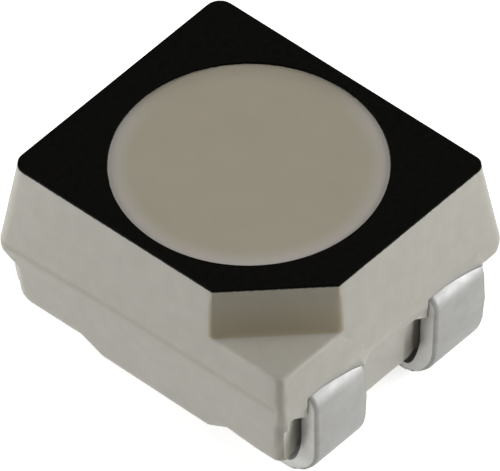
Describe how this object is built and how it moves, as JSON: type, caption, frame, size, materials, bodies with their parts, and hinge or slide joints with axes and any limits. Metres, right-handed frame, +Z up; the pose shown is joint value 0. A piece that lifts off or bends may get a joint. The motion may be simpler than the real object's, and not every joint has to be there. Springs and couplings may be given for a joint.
{
  "type": "surface-mount rgb led",
  "caption": "Surface-mount colour LED: a pale moulded housing with a black printed face, round milky window, cut polarity corner and bent tinned leads, with chips and gold wires sealed inside.",
  "frame": {"origin": "middle of the footprint on the solder plane, straight under the middle of the window", "axes": "+X towards the anode and red leads, +Y from the cut corner's side to the other side, +Z up and out of the window"},
  "size_m": [0.0034, 0.0028, 0.0019],
  "materials": {
    "housing_plastic": "pale grey heat-proof moulding, satin",
    "black_ink": "black ink film, matte",
    "milky_resin": "diffusing resin, matte at the surface",
    "tinned_copper": "matte tin plating on copper alloy",
    "red_die": "semiconductor chip, polished",
    "green_die": "semiconductor chip, polished",
    "blue_die": "semiconductor chip, polished",
    "silver_glue": "silver-filled epoxy, matte",
    "gold_wire": "drawn gold wire, bright"
  },
  "bodies": {
    "root": {"housing": "housing_plastic", "black_face_print": "black_ink", "encapsulant": "milky_resin", "anode_lead": "tinned_copper", "red_lead": "tinned_copper", "green_lead": "tinned_copper", "blue_lead": "tinned_copper", "red_chip": "red_die", "green_chip": "green_die", "blue_chip": "blue_die", "red_chip_glue": "silver_glue", "green_chip_glue": "silver_glue", "blue_chip_glue": "silver_glue", "red_wire": "gold_wire", "green_anode_wire": "gold_wire", "green_cathode_wire": "gold_wire", "blue_anode_wire": "gold_wire", "blue_cathode_wire": "gold_wire"}
  },
  "joints": []
}
